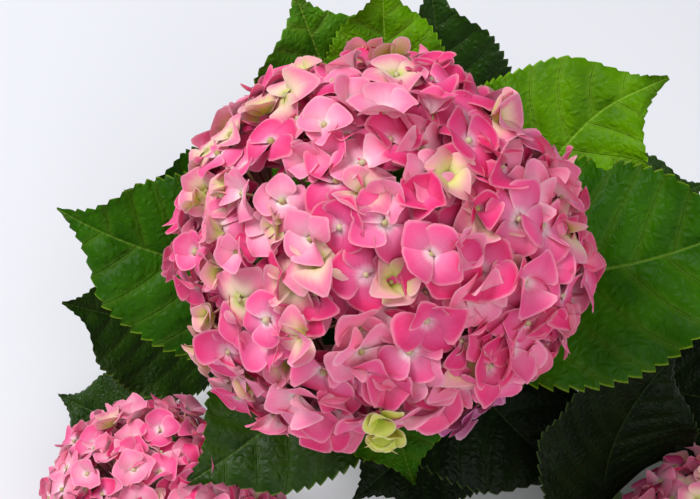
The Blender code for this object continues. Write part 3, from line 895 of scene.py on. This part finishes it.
def buildLimb(limb, path):
    # a round limb with swollen joints where its leaves sit, capped at both ends
    isStem = limb == "stem"
    sides, rings = limbLook["sides"], limbLook["rings"]
    tubeMesh = bmesh.new()
    bmesh.ops.create_grid(tubeMesh, x_segments=sides, y_segments=rings, size=1)
    first = across(heading(path, 0))
    length = sum((bezier(path, (i + 1) / 20) - bezier(path, i / 20)).length for i in range(20))
    joints = sorted({facts["along"] for facts in leaves[limb]}) + ([branch["sideFork"]] if isStem else [0.0])
    rng = random.Random(len(limb))
    phases = [rng.uniform(0, 6.3) for _ in range(6)]
    for vert in tubeMesh.verts:
        t, angle = (vert.co.y + 1) / 2, math.pi * (vert.co.x + 1)
        along = heading(path, t)
        right = (first - along * first.dot(along)).normalized()
        radius = limbRadius(limb, t)
        swell = sum(math.exp(-(((t - joint) * length / limbLook["nodeLong"]) ** 2)) for joint in joints)
        ridges = 0.035 * math.sin(5 * angle + phases[0]) + 0.02 * math.sin(9 * angle + 14 * t + phases[1])
        if isStem:
            ridges += 0.05 * math.sin(7 * angle + 5 * t + phases[2]) * math.sin(31 * t + phases[3])
        radius *= 1 + min(1.0, swell) * limbLook["nodeSwell"] + ridges * float(eased(t / 0.1))
        vert.co = bezier(path, t) + (right * math.cos(angle) - along.cross(right) * math.sin(angle)) * radius
    bmesh.ops.remove_doubles(tubeMesh, verts=tubeMesh.verts, dist=0.00002)
    openEdges = [edge for edge in tubeMesh.edges if edge.is_boundary]
    ends = bmesh.ops.holes_fill(tubeMesh, edges=openEdges)["faces"]
    bmesh.ops.recalc_face_normals(tubeMesh, faces=tubeMesh.faces)
    for end in ends:
        end.smooth = False
    cut = min(ends, key=lambda face: (face.calc_center_median() - path[0]).length)
    if isStem:
        bmesh.ops.inset_region(tubeMesh, faces=[cut], thickness=0.0006)
        cut.material_index = 1
        bmesh.ops.inset_region(tubeMesh, faces=[cut], thickness=0.0036)
        cut.material_index = 2
    mesh = bpy.data.meshes.new(limb)
    tubeMesh.to_mesh(mesh)
    tubeMesh.free()
    mesh.polygons.foreach_set("use_smooth", [len(face.vertices) == 4 for face in mesh.polygons])
    piece = "stem" if isStem else "shoot_" + limb
    materials = [oldBark, cutWood, pith] if isStem else [greenBark]
    return finishPiece(piece + "_bark", mesh, piece, materials)


def makeBark(name, base, streak, speck, scale, roughness):
    material, tree, shader = newMaterial(name)
    place = putNode(tree, "ShaderNodeTexCoord").outputs["Object"]
    stretched = putNode(tree, "ShaderNodeMapping", {"Vector": place, "Scale": (1.0, 0.22, 0.5)}).outputs[0]
    grain = noise(tree, stretched, scale, 6.0)
    spots = putNode(tree, "ShaderNodeTexVoronoi", {"Vector": place, "Scale": 420.0}).outputs["Distance"]
    colour = blended(tree, ranged(tree, grain, 0.35, 0.68), base, streak)
    colour = blended(tree, ranged(tree, spots, 0.10, 0.24, 0.8, 0.0), colour, speck)
    tree.links.new(colour, shader.inputs["Base Color"])
    tree.links.new(ranged(tree, grain, 0.2, 0.8, roughness, roughness + 0.2), shader.inputs["Roughness"])
    tree.links.new(bumped(tree, grain, 0.0006), shader.inputs["Normal"])
    return material


def makeSimple(name, low, high, scale, roughness):
    # a colour that wanders between two shades
    material, tree, shader = newMaterial(name)
    place = putNode(tree, "ShaderNodeTexCoord").outputs["Object"]
    cloud = noise(tree, place, scale, 3.0)
    tree.links.new(blended(tree, ranged(tree, cloud, 0.35, 0.65), low, high), shader.inputs["Base Color"])
    shader.inputs["Roughness"].default_value = roughness
    return material


# ---- build it all

leafMaterials = makeLeafMaterials()
petalMaterials = makePetalMaterials()
eyeMaterial = makeSimple("floret eye", rgb(172, 160, 96), rgb(196, 184, 150), 160.0, 0.6)
rayMaterial = makeSimple("flower stalk", rgb(172, 142, 98), rgb(198, 128, 126), 60.0, 0.55)
greenBark = makeBark("green bark", rgb(84, 112, 48), rgb(98, 122, 60), rgb(92, 60, 44), 260.0, 0.45)
oldBark = makeBark("old bark", rgb(128, 104, 78), rgb(92, 72, 54), rgb(70, 54, 42), 320.0, 0.75)
cutWood = makeSimple("cut wood", rgb(206, 192, 150), rgb(188, 176, 128), 900.0, 0.7)
pith = makeSimple("pith", rgb(232, 226, 208), rgb(222, 214, 190), 700.0, 0.8)

paths = limbPaths()
for limb, path in paths.items():
    buildLimb(limb, path)
    for number, facts in enumerate(leaves[limb], 1):
        radius = limbRadius(limb, facts["along"])
        buildLeaf(f"leaf_{limb}_{number}", path, radius, facts, number * 7 + len(limb))
print("limbs and leaves made")

petals = petalShapes()
for name in heads:
    plan = planFlorets(name)
    buildPetals(name, plan, *petals)
    beads(name, plan)
    buildRays(name, plan)
    print("flower head", name, "with", len(plan), "florets")


# ---- floor, light and camera

stage = {
    "floorColour": rgb(229, 230, 235),
    "skyColour": (0.93, 0.95, 1.0, 1),
    "skyStrength": 0.28,
    "camera": Vector((-0.0375, -0.4100, 0.6420)),
    "elevation": 50,
    "lens": 70,
}


def makeFloor():
    slab = bmesh.new()
    bmesh.ops.create_grid(slab, x_segments=1, y_segments=1, size=4)
    mesh = bpy.data.meshes.new("floor")
    slab.to_mesh(mesh)
    slab.free()
    material, tree, shader = newMaterial("floor", Roughness=0.9)
    shader.inputs["Base Color"].default_value = stage["floorColour"]
    mesh.materials.append(material)
    floor = bpy.data.objects.new("floor", mesh)
    bpy.context.scene.collection.objects.link(floor)


def makeLight(name, place, aim, size, power, colour):
    lamp = bpy.data.lights.new(name, "AREA")
    lamp.shape = "SQUARE"
    lamp.size = size
    lamp.energy = power
    lamp.color = colour
    made = bpy.data.objects.new(name, lamp)
    made.location = place
    made.rotation_euler = (Vector(aim) - Vector(place)).to_track_quat("-Z", "Y").to_euler()
    bpy.context.scene.collection.objects.link(made)


makeFloor()
makeLight("window", (-1.1, 0.2, 2.0), (0.1, 0, 0.12), 1.0, 42, (0.99, 0.99, 1.0))
makeLight("front", (0.6, -1.4, 1.5), (0, 0, 0.1), 1.6, 18, (1.0, 1.0, 1.0))
world = bpy.data.worlds.new("studio")
world.use_nodes = True
background = world.node_tree.nodes["Background"]
background.inputs["Color"].default_value = stage["skyColour"]
background.inputs["Strength"].default_value = stage["skyStrength"]
bpy.context.scene.world = world
bpy.context.scene.view_settings.view_transform = "Standard"

lens = bpy.data.cameras.new("camera")
lens.lens = stage["lens"]
lens.sensor_width = 36
camera = bpy.data.objects.new("camera", lens)
camera.location = stage["camera"]
camera.rotation_euler = (math.radians(90 - stage["elevation"]), 0, 0)
bpy.context.scene.collection.objects.link(camera)
bpy.context.scene.camera = camera

print("stage set")
